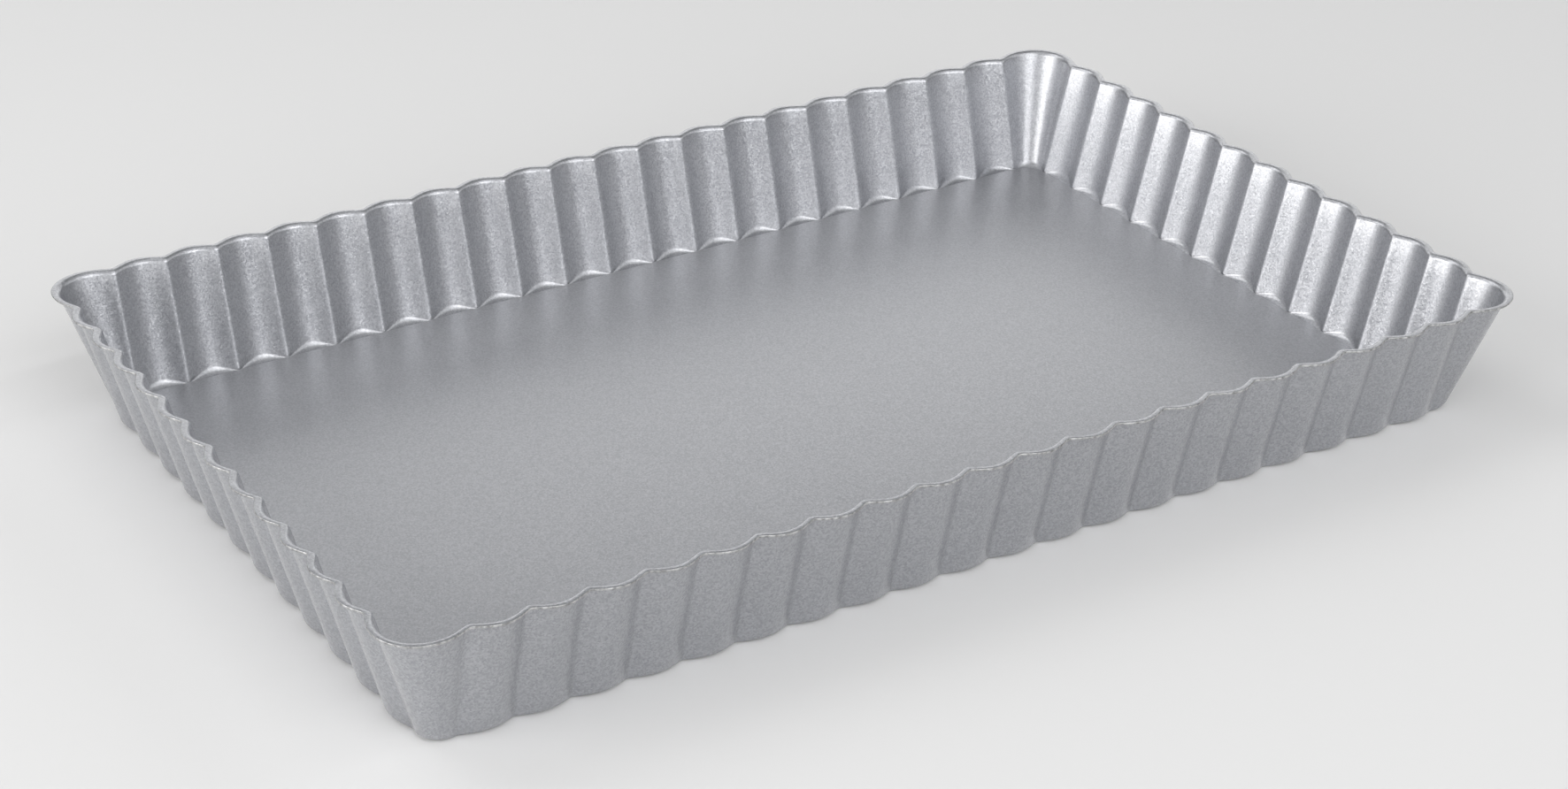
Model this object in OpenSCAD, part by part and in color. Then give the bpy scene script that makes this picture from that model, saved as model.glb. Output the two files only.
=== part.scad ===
// Rectangular fluted tart pan with a loose base.
// A one-piece pressed ring (fluted wall, narrow rim flange, flat foot ledge)
// carries a flat plate that lifts straight up and out.
// The origin is on the table, under the centre of the pan; X is its long way.

/* [Flutes] */
// Distance from one groove to the next
flute_pitch = 12.3; // [10:0.1:16]
// Number of flutes along each long side
flutes_long = 20; // [8:1:24]
// Number of flutes along each short side
flutes_short = 12; // [6:1:16]
// How far a flute bulges out past its grooves
flute_depth = 2.1; // [1:0.1:3]
// Roundness of the groove between two flutes
groove_softness = 0.2; // [0.1:0.05:0.5]

/* [Ring] */
// Height from the table to the top of the rim
pan_height = 29.1; // [20:0.1:45]
// Thickness of the ring's sheet metal
sheet = 0.45; // [0.3:0.05:0.8]
// Grooves' distance outside the flute rectangle at the table
foot_outset = 5.4; // [4:0.1:8]
// How much wider the wall stands at the rim, on each side
wall_flare = 7.5; // [2:0.1:12]
// How far a corner lobe bulges out at the foot
corner_bulge_foot = 1.3; // [0.5:0.1:2.5]
// How far a corner lobe bulges out at the rim
corner_bulge_rim = 4.7; // [2:0.1:6]
// Inside radius of the bend between wall and ledge, at a groove
groove_foot_bend = 0.4; // [0.3:0.1:0.6]
// The same radius at the middle of a flute
flute_foot_bend = 2.2; // [1.2:0.1:2.6]
// Inside radius of the bend under the rim flange
rim_bend = 0.8; // [0.3:0.1:1.2]
// Width of the rim flange, from the wall to the cut edge
rim_width = 1.8; // [1.8:0.1:4]
// Width of the ledge that carries the plate
ledge_width = 8; // [5:0.5:15]
// Corner radius of the opening inside the ledge
opening_corner = 6; // [3:0.5:12]

/* [Base plate] */
// Thickness of the loose plate
plate_thickness = 0.6; // [0.4:0.05:1.5]
// Gap between the plate's edge and the grooves of the wall
plate_gap = 0.6; // [0.6:0.05:2]
// Corner radius of the plate
plate_corner = 6; // [4:0.5:10]
// Height of the plate above the ledge, the coating's thickness
seat_gap = 0.05; // [0.02:0.01:0.1]

/* [Hidden] */

ring_color = [0.66, 0.67, 0.69];
plate_color = [0.62, 0.63, 0.65];

// The flute rectangle: its corners are the centres of the four corner lobes.
half_long = flutes_long * flute_pitch / 2;
half_short = flutes_short * flute_pitch / 2;

// Points per flute, as fractions of the pitch, closer together at the grooves
flute_phases = [0, 0.1, 0.28, 0.5, 0.72, 0.9];
corner_steps = 10;
foot_bend_steps = 2;
rim_top_steps = 2;
rim_underside_steps = 1;

lean = atan(wall_flare / pan_height);

// Four sides in turn, anticlockwise from above. Each runs along "way" from
// "start", with its flutes bulging towards "out"; a corner lobe follows it.
sides = [
    [[half_long, -half_short], [0, 1], [1, 0], 2 * half_short, flutes_short],
    [[half_long, half_short], [-1, 0], [0, 1], 2 * half_long, flutes_long],
    [[-half_long, half_short], [0, -1], [-1, 0], 2 * half_short, flutes_short],
    [[-half_long, -half_short], [1, 0], [0, -1], 2 * half_long, flutes_long]
];

// Stations round the ring: [side, is it on the corner lobe, place from 0 to 1]
stations = [
    for (i = [0 : 3]) each concat(
        [for (f = [0 : sides[i][4] - 1]) for (p = flute_phases) [i, false, (f + p) / sides[i][4]]],
        [for (j = [0 : corner_steps - 1]) [i, true, j / corner_steps]]
    )
];

// Outline of one lobe: 0 at its two grooves, 1 in the middle, rounded at 0
function lobe(t) =
    let (k = groove_softness)
    (sqrt(pow(sin(180 * t), 2) + k * k) - k) / (sqrt(1 + k * k) - k);

function fraction(x) = x - floor(x);

// Plan point of the fluted wall, "outset" from the flute rectangle
function wall_point(st, outset, bulge) =
    let (s = sides[st[0]], way = s[1], out = s[2], t = st[2])
    st[1]
        ? s[0] + way * s[3] + (out * cos(90 * t) + way * sin(90 * t)) * (outset + bulge * lobe(t))
        : s[0] + way * s[3] * t + out * (outset + flute_depth * lobe(fraction(t * s[4])));

// Plan point of a rounded rectangle, "outset" from the flute rectangle
function straight_point(st, outset, r) =
    let (s = sides[st[0]], way = s[1], out = s[2], t = st[2], inset = outset - r)
    st[1]
        ? s[0] + way * s[3] + (out + way) * inset + (out * cos(90 * t) + way * sin(90 * t)) * r
        : s[0] + way * (s[3] * t + inset * (2 * t - 1)) + out * outset;

// Inner face of the wall, at its grooves, at height z
function wall_outset(z) = foot_outset + wall_flare * z / pan_height;
function corner_bulge(z) =
    corner_bulge_foot + (corner_bulge_rim - corner_bulge_foot) * z / pan_height;

// How far a bend's centre stands in from the wall's face, per unit of radius
bend_offset = cos(lean) - (1 - sin(lean)) * tan(lean);
function foot_centre(r) = [wall_outset(sheet) - r * bend_offset, sheet + r];
rim_radius = rim_bend + sheet;
rim_centre = [wall_outset(pan_height) + rim_radius * bend_offset, pan_height - rim_radius];
rim_edge = wall_outset(pan_height) + rim_width;

function arc(centre, r, from, to, steps) =
    [for (j = [0 : steps]) let (a = from + (to - from) * j / steps) centre + r * [cos(a), sin(a)]];

function reversed(list) = [for (i = [len(list) - 1 : -1 : 0]) list[i]];

// Section through the sheet, as [outset, height]: up the inside, over the rim
// and down the outside, without the two points of the ledge's inner edge.
// r is the radius of the bend at the foot.
function section(r) = concat(
    arc(foot_centre(r), r, -90, -lean, foot_bend_steps),
    arc(rim_centre, rim_radius, 180 - lean, 90, rim_top_steps),
    [[rim_edge, pan_height], [rim_edge, pan_height - sheet]],
    reversed(arc(rim_centre, rim_bend, 180 - lean, 90, rim_underside_steps)),
    reversed(arc(foot_centre(r), r + sheet, -90, -lean, foot_bend_steps))
);
function foot_bend(st) =
    let (rise = lobe(st[1] ? st[2] : fraction(st[2] * sides[st[0]][4])))
    groove_foot_bend + (flute_foot_bend - groove_foot_bend) * rise;

opening_outset = foot_outset - ledge_width;

module fluted_ring() {
    n = len(section(flute_foot_bend)) + 2;
    total = len(stations);
    points = [
        for (st = stations) each concat(
            [for (p = section(foot_bend(st))) let (xy = wall_point(st, p[0], corner_bulge(p[1])))
                [xy[0], xy[1], p[1]]],
            [for (z = [0, sheet]) let (xy = straight_point(st, opening_outset, opening_corner))
                [xy[0], xy[1], z]]
        )
    ];
    faces = [
        for (i = [0 : total - 1]) for (j = [0 : n - 1])
            let (a = i * n + j, b = i * n + (j + 1) % n,
                 c = ((i + 1) % total) * n + (j + 1) % n, d = ((i + 1) % total) * n + j)
            each [[a, b, c], [a, c, d]]
    ];
    color(ring_color) polyhedron(points = points, faces = faces, convexity = 6);
}

module base_plate() {
    reach = wall_outset(sheet + plate_thickness) - plate_gap;
    size = 2 * [half_long + reach, half_short + reach];
    color(plate_color)
        translate([0, 0, sheet + seat_gap])
            linear_extrude(plate_thickness)
                rounded_rectangle(size, plate_corner);
}

module rounded_rectangle(size, r) {
    square([size[0] - 2 * r, size[1]], center = true);
    square([size[0], size[1] - 2 * r], center = true);
    for (x = [-1, 1]) for (y = [-1, 1])
        translate([x * (size[0] / 2 - r), y * (size[1] / 2 - r)]) circle(r = r, $fn = 64);
}

fluted_ring();
base_plate();
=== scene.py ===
"""Looks of the rectangular loose-bottom tart pan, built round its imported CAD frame.

The pan is two pieces of sheet: a pressed fluted ring and a loose plate. Each CAD node
is replaced by a finer mesh of the same shape, with round bends, a slightly rough cut
edge and a metallic non-stick coating. Metres throughout, +Z up.
"""

import math
from collections import namedtuple

import bpy
import numpy as np
from mathutils import Matrix, Vector


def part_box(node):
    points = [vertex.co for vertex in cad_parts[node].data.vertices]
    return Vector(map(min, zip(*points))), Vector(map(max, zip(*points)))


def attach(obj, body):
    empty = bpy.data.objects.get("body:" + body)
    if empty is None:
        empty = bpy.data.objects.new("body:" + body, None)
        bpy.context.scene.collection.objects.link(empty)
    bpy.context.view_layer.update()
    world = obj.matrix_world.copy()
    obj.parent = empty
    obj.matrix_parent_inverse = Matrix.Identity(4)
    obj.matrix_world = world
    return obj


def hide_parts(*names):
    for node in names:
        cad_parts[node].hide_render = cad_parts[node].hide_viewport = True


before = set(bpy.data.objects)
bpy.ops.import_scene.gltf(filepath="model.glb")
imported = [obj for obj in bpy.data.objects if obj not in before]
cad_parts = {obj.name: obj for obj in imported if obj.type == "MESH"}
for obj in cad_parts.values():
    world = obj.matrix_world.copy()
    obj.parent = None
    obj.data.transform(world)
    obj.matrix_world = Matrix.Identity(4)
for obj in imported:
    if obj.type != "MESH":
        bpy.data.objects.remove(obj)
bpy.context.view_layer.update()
ring_high = Vector(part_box("fluted_ring")[1])
plate_low, plate_high = (Vector(c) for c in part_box("base_plate"))

MM = 0.001

# ---------------------------------------------------------------- the pan's shape
FLUTES_LONG = 20
FLUTES_SHORT = 12
FLUTE_DEPTH = 2.1 * MM
FOOT_OUTSET = 5.4 * MM
WALL_FLARE = 7.5 * MM
CORNER_BULGE_FOOT = 1.3 * MM
CORNER_BULGE_RIM = 4.7 * MM
GROOVE_FOOT_BEND = 0.4 * MM
FLUTE_FOOT_BEND = 2.2 * MM
RIM_BEND = 0.8 * MM
LEDGE_WIDTH = 8.0 * MM
OPENING_CORNER = 6.0 * MM
PLATE_CORNER = 6.0 * MM
SHEET = 0.45 * MM
GROOVE_SOFTNESS = 0.15

# The flute rectangle and the rim's width follow from the CAD ring's own box.
PITCH = 2 * (ring_high.x - ring_high.y) / (FLUTES_LONG - FLUTES_SHORT)
HALF_LONG = FLUTES_LONG * PITCH / 2
HALF_SHORT = FLUTES_SHORT * PITCH / 2
HEIGHT = ring_high.z
RIM_EDGE = ring_high.x - HALF_LONG - FLUTE_DEPTH
LEAN = math.atan2(WALL_FLARE, HEIGHT)

# The edges that the shears leave: the ring's is rounded and torn, the plate's is rounded.
CUT_EDGE_ROUND = 0.09 * MM
CUT_EDGE_RAGGED = 0.10 * MM
CUT_EDGE_SEED = 7
PLATE_EDGE_ROUND = 0.25 * MM

# Steps of the mesh. GROOVE_CROWDING draws a flute's steps towards its grooves.
STEPS_PER_FLUTE = 20
STEPS_PER_CORNER = 32
GROOVE_CROWDING = 0.7
BEND_STEPS = 10
RIM_UNDERSIDE_STEPS = 8
WALL_STEPS = 7
CUT_EDGE_STEPS = 3
PLATE_CORNER_STEPS = 16
PLATE_EDGE_STEPS = 5
# Rows across the ledge: under it from the wall inwards, and on top from the opening outwards
LEDGE_ROWS_UNDER = (0.35, 0.7)
LEDGE_ROWS_OVER = (0.3, 0.65)
# A turn of the ring's surface sharper than this shows as a crease.
CREASE_DEGREES = 50

# Each side's outward way, anticlockwise from +X, and the corner that the side starts from
SIDE_OUT = [(1, 0), (0, 1), (-1, 0), (0, -1)]
SIDE_START = [(1, -1), (1, 1), (-1, 1), (-1, -1)]

# Columns of points round the ring. Each has a base point on the flute rectangle, the outward
# way there, its bulge from 0 to 1, whether it is on a corner, and a shift that spreads the
# points of the opening inside the ledge: along its sides, and diagonally at its corners.
Stations = namedtuple("Stations", "base ray bulge corner shift")


def lobe(t):
    """Plan outline of one bulge: 0 at its two grooves, 1 in the middle."""
    k = GROOVE_SOFTNESS
    rise = np.sqrt(np.sin(np.pi * t) ** 2 + k * k) - k
    return rise / (math.sqrt(1 + k * k) - k)


def make_stations():
    even = np.arange(STEPS_PER_FLUTE) / STEPS_PER_FLUTE
    phases = even - GROOVE_CROWDING * np.sin(2 * np.pi * even) / (2 * np.pi)
    turns = np.arange(STEPS_PER_CORNER) / STEPS_PER_CORNER
    columns = []
    for side in range(4):
        out = np.array(SIDE_OUT[side], float)
        way = np.array(SIDE_OUT[(side + 1) % 4], float)
        start = np.array([SIDE_START[side][0] * HALF_LONG, SIDE_START[side][1] * HALF_SHORT])
        flutes = FLUTES_SHORT if side % 2 == 0 else FLUTES_LONG
        along = way * flutes * PITCH
        for flute in range(flutes):
            for phase in phases:
                place = (flute + phase) / flutes
                columns.append((start + along * place, out, lobe(phase), 0, way * (2 * place - 1)))
        for t in turns:
            angle = math.radians(90) * t
            ray = out * math.cos(angle) + way * math.sin(angle)
            columns.append((start + along, ray, lobe(t), 1, out + way))
    return Stations(*(np.array(values) for values in zip(*columns)))


def arc(centre, radius, start, end, steps):
    """Rows of (outset, height) round a bend; its size may differ from station to station."""
    outset, height = centre
    angles = np.radians(np.linspace(start, end, steps + 1))
    return [(outset + radius * math.cos(a), height + radius * math.sin(a)) for a in angles]


def between(a, b, steps):
    """Rows strictly between rows a and b."""
    return [tuple(p + (q - p) * i / steps for p, q in zip(a, b)) for i in range(1, steps)]


def sheet_section(bulge):
    """Rows of (outset, height) up the inside of the sheet, round its cut edge and back down."""
    lean = math.degrees(LEAN)
    # How far a bend's centre stands off the wall's face, per unit of radius
    offset = math.cos(LEAN) - (1 - math.sin(LEAN)) * math.tan(LEAN)
    level = np.zeros(len(bulge))

    foot_bend = GROOVE_FOOT_BEND + (FLUTE_FOOT_BEND - GROOVE_FOOT_BEND) * bulge
    foot = (FOOT_OUTSET + WALL_FLARE * SHEET / HEIGHT - foot_bend * offset, SHEET + foot_bend)
    inner_foot = arc(foot, foot_bend, -90, -lean, BEND_STEPS)
    outer_foot = arc(foot, foot_bend + SHEET, -90, -lean, BEND_STEPS)

    rim_radius = RIM_BEND + SHEET
    rim = (level + FOOT_OUTSET + WALL_FLARE + rim_radius * offset, level + HEIGHT - rim_radius)
    inner_rim = arc(rim, rim_radius, 180 - lean, 90, BEND_STEPS)
    outer_rim = arc(rim, RIM_BEND, 180 - lean, 90, RIM_UNDERSIDE_STEPS)

    r = CUT_EDGE_ROUND
    edge_out = level + RIM_EDGE - r
    edge = arc((edge_out, level + HEIGHT - r), r, 90, 0, CUT_EDGE_STEPS)
    edge += arc((edge_out, level + HEIGHT - SHEET + r), r, 0, -90, CUT_EDGE_STEPS)

    inside = inner_foot + between(inner_foot[-1], inner_rim[0], WALL_STEPS) + inner_rim
    wall_down = between(outer_rim[0], outer_foot[-1], WALL_STEPS)
    outside = outer_rim[::-1] + wall_down + outer_foot[::-1]
    return inside, edge, outside


def fluted_row(at, outset, z, inset=0.0):
    """Points of one row of the fluted sheet, with a little taken off by inset."""
    corner_bulge = CORNER_BULGE_FOOT + (CORNER_BULGE_RIM - CORNER_BULGE_FOOT) * z / HEIGHT
    depth = np.where(at.corner == 1, corner_bulge, FLUTE_DEPTH) * at.bulge
    plan = at.base + at.ray * (outset + depth - inset)[:, None]
    return np.column_stack([plan, z])


def opening_row(at, z):
    """Points of one row of the straight-sided, round-cornered opening inside the ledge."""
    outset = FOOT_OUTSET - LEDGE_WIDTH
    reach = np.where(at.corner == 1, OPENING_CORNER, outset)
    plan = at.base + at.ray * reach[:, None] + at.shift * (outset - OPENING_CORNER)
    return np.column_stack([plan, np.full(len(plan), z)])


def smoothed(values):
    return (values + np.roll(values, 1) + np.roll(values, -1)) / 3


def smooth_object(name, points, faces):
    mesh = bpy.data.meshes.new(name)
    mesh.from_pydata(points, [], faces)
    mesh.polygons.foreach_set("use_smooth", [True] * len(mesh.polygons))
    made = bpy.data.objects.new(name, mesh)
    bpy.context.scene.collection.objects.link(made)
    return made


def closed_tube(name, grid, cut_edge):
    """A mesh from rings of points: grid[station][section point], closed both ways.
    Faces whose place in the section is listed in cut_edge get the second material."""
    around, along = grid.shape[:2]
    i, j = np.meshgrid(np.arange(around), np.arange(along), indexing="ij")
    i, j = i.ravel(), j.ravel()
    here = i * along
    ahead = (i + 1) % around * along
    next_j = (j + 1) % along
    faces = np.stack([here + j, here + next_j, ahead + next_j, ahead + j], 1)
    tube = smooth_object(name, grid.reshape(-1, 3).tolist(), faces.tolist())
    tube.data.polygons.foreach_set("material_index", np.isin(j, cut_edge).astype(int))
    tube.data.set_sharp_from_angle(angle=math.radians(CREASE_DEGREES))
    return tube


def make_ring():
    at = make_stations()
    inside, edge, outside = sheet_section(at.bulge)
    rng = np.random.default_rng(CUT_EDGE_SEED)
    burr = smoothed(rng.random(len(at.base))) * CUT_EDGE_RAGGED
    rows = [fluted_row(at, outset, z) for outset, z in inside]
    rows += [fluted_row(at, outset, z, burr) for outset, z in edge]
    rows += [fluted_row(at, outset, z) for outset, z in outside]
    low = opening_row(at, 0.0)
    high = opening_row(at, SHEET)
    under = [rows[-1] + (low - rows[-1]) * f for f in LEDGE_ROWS_UNDER]
    over = [high + (rows[0] - high) * f for f in LEDGE_ROWS_OVER]
    grid = np.stack(rows + under + [low, high] + over, axis=1)
    first_edge = len(inside)
    return closed_tube("pan_ring", grid, np.arange(first_edge, first_edge + len(edge) - 1))


def plate_outline():
    """Round the plate's corners: pairs of a corner's centre and an outward way from it."""
    outline = []
    for quarter, (sx, sy) in enumerate([(1, 1), (-1, 1), (-1, -1), (1, -1)]):
        centre = np.array([sx * (plate_high.x - PLATE_CORNER), sy * (plate_high.y - PLATE_CORNER)])
        for step in range(PLATE_CORNER_STEPS + 1):
            angle = math.radians(90 * quarter + 90 * step / PLATE_CORNER_STEPS)
            outline.append((centre, np.array([math.cos(angle), math.sin(angle)])))
    return outline


def plate_section():
    """Rows of (inset, height) round the plate's edge, from its underside to its top."""
    r = PLATE_EDGE_ROUND
    turns = [math.radians(90 * step / PLATE_EDGE_STEPS) for step in range(PLATE_EDGE_STEPS + 1)]
    lower = [(r * (1 - math.sin(a)), plate_low.z + r * (1 - math.cos(a))) for a in turns]
    upper = [(inset, plate_low.z + plate_high.z - z) for inset, z in reversed(lower)]
    return lower + upper


def make_plate():
    """The loose plate: a rounded rectangle of sheet with its edges rolled over by the shears."""
    outline = plate_outline()
    section = plate_section()
    count = len(outline)
    points = []
    for inset, z in section:
        for centre, ray in outline:
            x, y = centre + ray * (PLATE_CORNER - inset)
            points.append((x, y, z))
    faces = []
    for row in range(len(section) - 1):
        low, high = row * count, (row + 1) * count
        for c in range(count):
            n = (c + 1) % count
            faces.append((low + c, low + n, high + n, high + c))
    top = (len(section) - 1) * count
    faces.append(tuple(range(top, top + count)))
    faces.append(tuple(reversed(range(count))))
    return smooth_object("pan_plate", points, faces)


# ---------------------------------------------------------------- materials
# Scales are in repeats per millimetre, and the values of a noise mostly lie in NOISE_RANGE.
NOISE_RANGE = (0.3, 0.7)
RANDOM_MIDDLE = (0.5, 0.5, 0.5)

# The coating: a second layer of flakes finer than the first by FINE_FLAKES, broad patches
# and a fine grain. TONE and ROUGHNESS say how far each takes those up and down.
FINE_FLAKES = 2.3
PATCH_SCALE = 0.05
PATCH_TONE = 0.03
PATCH_ROUGHNESS = 0.02
GRAIN_SCALE = 2.6
GRAIN_ROUGHNESS = 0.03
GRAIN_HEIGHT = 0.02 * MM
GRAIN_STRENGTH = 0.25
COAT_IOR = 1.5

# The cut edge: smooth bright steel with darker, rougher tears
TEAR_SCALE = 1.1
TEAR_HEIGHT = 0.05 * MM
TEAR_STRENGTH = 0.6
TEAR_RANGE = (0.35, 0.62)
TEAR_TONES = (0.28, 0.62)
TEAR_ROUGHNESS = (0.5, 0.3)

FLOOR_TONE = 0.70
FLOOR_ROUGHNESS = 0.9


class Graph:
    """A new material and a small helper for laying out its nodes."""

    def __init__(self, name):
        self.material = bpy.data.materials.new(name)
        self.material.use_nodes = True
        self.tree = self.material.node_tree
        self.tree.nodes.clear()

    def node(self, kind, inputs, **settings):
        made = self.tree.nodes.new(kind)
        for key, value in settings.items():
            setattr(made, key, value)
        for key, value in inputs.items():
            if isinstance(value, bpy.types.NodeSocket):
                self.tree.links.new(value, made.inputs[key])
            else:
                made.inputs[key].default_value = value
        return made

    def add(self, a, b):
        return self.node("ShaderNodeMath", {0: a, 1: b}, operation="ADD").outputs[0]

    def vector(self, operation, a, b):
        return self.node("ShaderNodeVectorMath", {0: a, 1: b}, operation=operation).outputs[0]

    def scaled(self, a, scale):
        inputs = {0: a, "Scale": scale}
        return self.node("ShaderNodeVectorMath", inputs, operation="SCALE").outputs[0]

    def ramp(self, value, from_range, to_range):
        inputs = {"Value": value, "From Min": from_range[0], "From Max": from_range[1],
                  "To Min": to_range[0], "To Max": to_range[1]}
        return self.node("ShaderNodeMapRange", inputs).outputs["Result"]

    def swing(self, noise, middle, reach):
        """The noise as a value that swings round middle."""
        return self.ramp(noise, NOISE_RANGE, (middle - reach, middle + reach))

    def noise(self, place, scale, detail):
        inputs = {"Vector": place, "Scale": scale, "Detail": detail}
        return self.node("ShaderNodeTexNoise", inputs).outputs["Fac"]

    def cells(self, place, scale):
        """A random colour for each cell."""
        inputs = {"Vector": place, "Scale": scale}
        return self.node("ShaderNodeTexVoronoi", inputs, feature="F1").outputs["Color"]

    def bump(self, height, strength, distance, inputs):
        inputs = {"Height": height, "Strength": strength, "Distance": distance, **inputs}
        return self.node("ShaderNodeBump", inputs).outputs["Normal"]

    def place_in_mm(self):
        place = self.node("ShaderNodeTexCoord", {}).outputs["Object"]
        return self.scaled(place, 1 / MM)

    def finished(self, shader_inputs):
        shader = self.node("ShaderNodeBsdfPrincipled", shader_inputs)
        self.node("ShaderNodeOutputMaterial", {"Surface": shader.outputs["BSDF"]})
        return self.material


def flake_normal(g, flakes, fine_flakes, tilt):
    """The surface's normal, leaned another way on each flake."""
    lean = g.vector("SUBTRACT", flakes, RANDOM_MIDDLE)
    fine_lean = g.vector("SUBTRACT", fine_flakes, RANDOM_MIDDLE)
    tilted = g.scaled(g.vector("ADD", lean, fine_lean), tilt)
    surface = g.node("ShaderNodeNewGeometry", {}).outputs["Normal"]
    leaned = g.vector("ADD", surface, tilted)
    return g.node("ShaderNodeVectorMath", {0: leaned}, operation="NORMALIZE").outputs[0]


def flake_colour(g, flakes, patches, dark, light, speckle):
    """A tone between dark and light for each flake, in slightly uneven patches."""
    shade = g.node("ShaderNodeSeparateColor", {"Color": flakes}).outputs["Green"]
    spread = g.ramp(shade, (0.0, 1.0), (0.5 - speckle, 0.5 + speckle))
    factor = g.add(spread, g.swing(patches, 0.0, PATCH_TONE))
    inputs = {"Factor": factor, "A": (*dark, 1), "B": (*light, 1)}
    return g.node("ShaderNodeMix", inputs, data_type="RGBA").outputs["Result"]


def coated_steel(name, dark, light, flake, speckle, tilt, roughness, metallic, coat, coat_roughness):
    """Grey non-stick coating: metal flakes under a clear coat. The flakes' tones lie round the
    middle of dark and light, as far apart as speckle says, and flake is their size in
    millimetres. tilt is how far they lean."""
    g = Graph(name)
    place = g.place_in_mm()
    flakes = g.cells(place, 1 / flake)
    fine_flakes = g.cells(place, FINE_FLAKES / flake)
    patches = g.noise(place, PATCH_SCALE, 3.0)
    grain = g.noise(place, GRAIN_SCALE, 1.0)

    normal = flake_normal(g, flakes, fine_flakes, tilt)
    rough_patches = g.swing(patches, roughness, PATCH_ROUGHNESS)
    return g.finished({
        "Base Color": flake_colour(g, flakes, patches, dark, light, speckle),
        "Roughness": g.add(g.swing(grain, 0.0, GRAIN_ROUGHNESS), rough_patches),
        "Normal": g.bump(grain, GRAIN_STRENGTH, GRAIN_HEIGHT, {"Normal": normal}),
        "Metallic": metallic, "Coat Weight": coat,
        "Coat Roughness": coat_roughness, "Coat IOR": COAT_IOR})


def cut_steel(name):
    """The bare, slightly torn steel of the rim's cut edge."""
    g = Graph(name)
    tear = g.noise(g.place_in_mm(), TEAR_SCALE, 4.0)
    tone = g.ramp(tear, TEAR_RANGE, TEAR_TONES)
    return g.finished({
        "Base Color": g.node("ShaderNodeCombineColor", {0: tone, 1: tone, 2: tone}).outputs[0],
        "Roughness": g.ramp(tear, NOISE_RANGE, TEAR_ROUGHNESS),
        "Normal": g.bump(tear, TEAR_STRENGTH, TEAR_HEIGHT, {}), "Metallic": 1.0})


def floor_paint():
    material = bpy.data.materials.new("studio_floor")
    material.use_nodes = True
    shader = material.node_tree.nodes["Principled BSDF"]
    shader.inputs["Base Color"].default_value = (FLOOR_TONE, FLOOR_TONE, FLOOR_TONE, 1)
    shader.inputs["Roughness"].default_value = FLOOR_ROUGHNESS
    shader.inputs["Specular IOR Level"].default_value = 0.0
    return material


# ---------------------------------------------------------------- studio
FLOOR_SIZE = 8.0
LIGHT_DISTANCE = 1.5
NEUTRAL = (1.0, 1.0, 1.0)
WARM = (1.0, 0.99, 0.975)
SKY = (0.94, 0.97, 1.0)
SKY_STRENGTH = 0.06

CAMERA_AIM = Vector((-10.7 * MM, -17.1 * MM, 13.4 * MM))
CAMERA_AZIMUTH = -32.553
CAMERA_ELEVATION = 27.921
CAMERA_ROLL = 0.462
CAMERA_DISTANCE = 0.6574
CAMERA_LENS = 68.92
CAMERA_SENSOR = 36
CAMERA_NEAREST = 50 * MM


def make_floor():
    bpy.ops.mesh.primitive_plane_add(size=FLOOR_SIZE, location=(0, 0, 0))
    floor = bpy.context.object
    floor.name = "floor"
    floor.data.materials.append(floor_paint())


def softbox(name, azimuth, elevation, width, height, radiance, colour=NEUTRAL):
    """A rectangular soft light that faces the pan. Azimuth 0 is +Y and 90 is +X, in degrees,
    and radiance is how bright the light's face looks, whatever its size."""
    a, e = math.radians(azimuth), math.radians(elevation)
    way = Vector((math.sin(a) * math.cos(e), math.cos(a) * math.cos(e), math.sin(e)))
    data = bpy.data.lights.new(name, "AREA")
    data.shape = "RECTANGLE"
    data.size, data.size_y = width, height
    data.energy = radiance * math.pi * width * height
    data.color = colour
    lamp = bpy.data.objects.new(name, data)
    lamp.location = way * LIGHT_DISTANCE
    lamp.rotation_mode = "QUATERNION"
    lamp.rotation_quaternion = way.to_track_quat("Z", "Y")
    bpy.context.scene.collection.objects.link(lamp)


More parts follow.
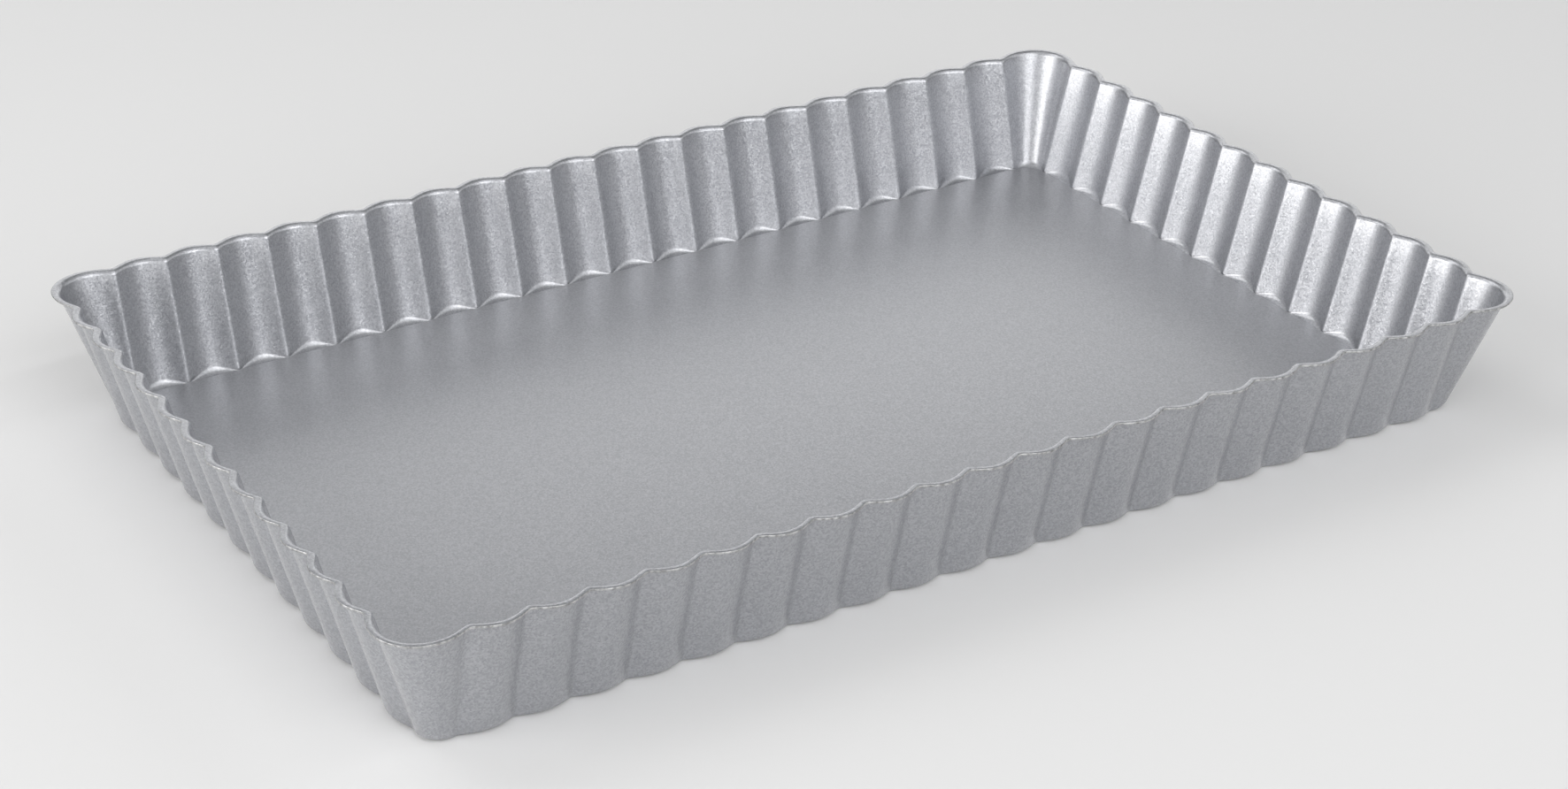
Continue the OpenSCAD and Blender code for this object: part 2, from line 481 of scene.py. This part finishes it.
def make_lights():
    softbox("left_softbox", -90, 19, 0.85, 1.1, 2.9, WARM)
    softbox("left_wide_softbox", -90, 18, 1.6, 1.1, 1.9, WARM)
    softbox("left_front_strip", -135, 9, 1.1, 0.5, 1.7)
    softbox("front_softbox", 184, 32, 0.8, 1.05, 2.3)
    softbox("front_wide_softbox", 182, 31, 1.6, 1.0, 1.4)
    softbox("front_right_fill", 140, 26, 0.7, 0.8, 0.9)
    softbox("right_fill", 105, 34, 1.0, 0.9, 1.0)
    softbox("back_left_upper", -38, 50, 0.9, 0.9, 2.5)
    softbox("back_panel", 32, 22, 1.7, 0.8, 1.35)
    softbox("overhead", 0, 88, 1.05, 1.05, 0.7)
    softbox("glint_strip", 172, 62, 1.3, 0.08, 9.0)


def make_world():
    world = bpy.data.worlds.new("studio")
    world.use_nodes = True
    background = world.node_tree.nodes["Background"]
    background.inputs["Color"].default_value = (*SKY, 1)
    background.inputs["Strength"].default_value = SKY_STRENGTH
    bpy.context.scene.world = world


def make_camera():
    """The photograph's view. Azimuth 0 looks along +Y, and a negative one stands to the left."""
    a, e = math.radians(CAMERA_AZIMUTH), math.radians(CAMERA_ELEVATION)
    back = Vector((math.sin(a) * math.cos(e), -math.cos(a) * math.cos(e), math.sin(e)))
    data = bpy.data.cameras.new("camera")
    data.lens = CAMERA_LENS
    data.sensor_width = CAMERA_SENSOR
    data.clip_start = CAMERA_NEAREST
    camera = bpy.data.objects.new("camera", data)
    level = back.to_track_quat("Z", "Y").to_matrix()
    roll = Matrix.Rotation(math.radians(CAMERA_ROLL), 3, "Z")
    place = Matrix.Translation(CAMERA_AIM + back * CAMERA_DISTANCE)
    camera.matrix_world = place @ (level @ roll).to_4x4()
    bpy.context.scene.collection.objects.link(camera)
    bpy.context.scene.camera = camera


# ---------------------------------------------------------------- build
ring = make_ring()
ring.data.materials.append(coated_steel(
    "ring_coating", dark=(0.266, 0.274, 0.298), light=(0.596, 0.603, 0.628),
    flake=0.36, speckle=0.20, tilt=0.09, roughness=0.45,
    metallic=1.0, coat=1.0, coat_roughness=0.12))
ring.data.materials.append(cut_steel("cut_edge_steel"))
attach(ring, "ring")
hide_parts("fluted_ring")

plate = make_plate()
plate.data.materials.append(coated_steel(
    "plate_coating", dark=(0.314, 0.320, 0.342), light=(0.574, 0.581, 0.604),
    flake=0.34, speckle=0.19, tilt=0.07, roughness=0.50,
    metallic=0.8, coat=0.6, coat_roughness=0.30))
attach(plate, "base")
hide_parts("base_plate")

make_floor()
make_world()
make_lights()
make_camera()
bpy.context.scene.view_settings.view_transform = "Standard"
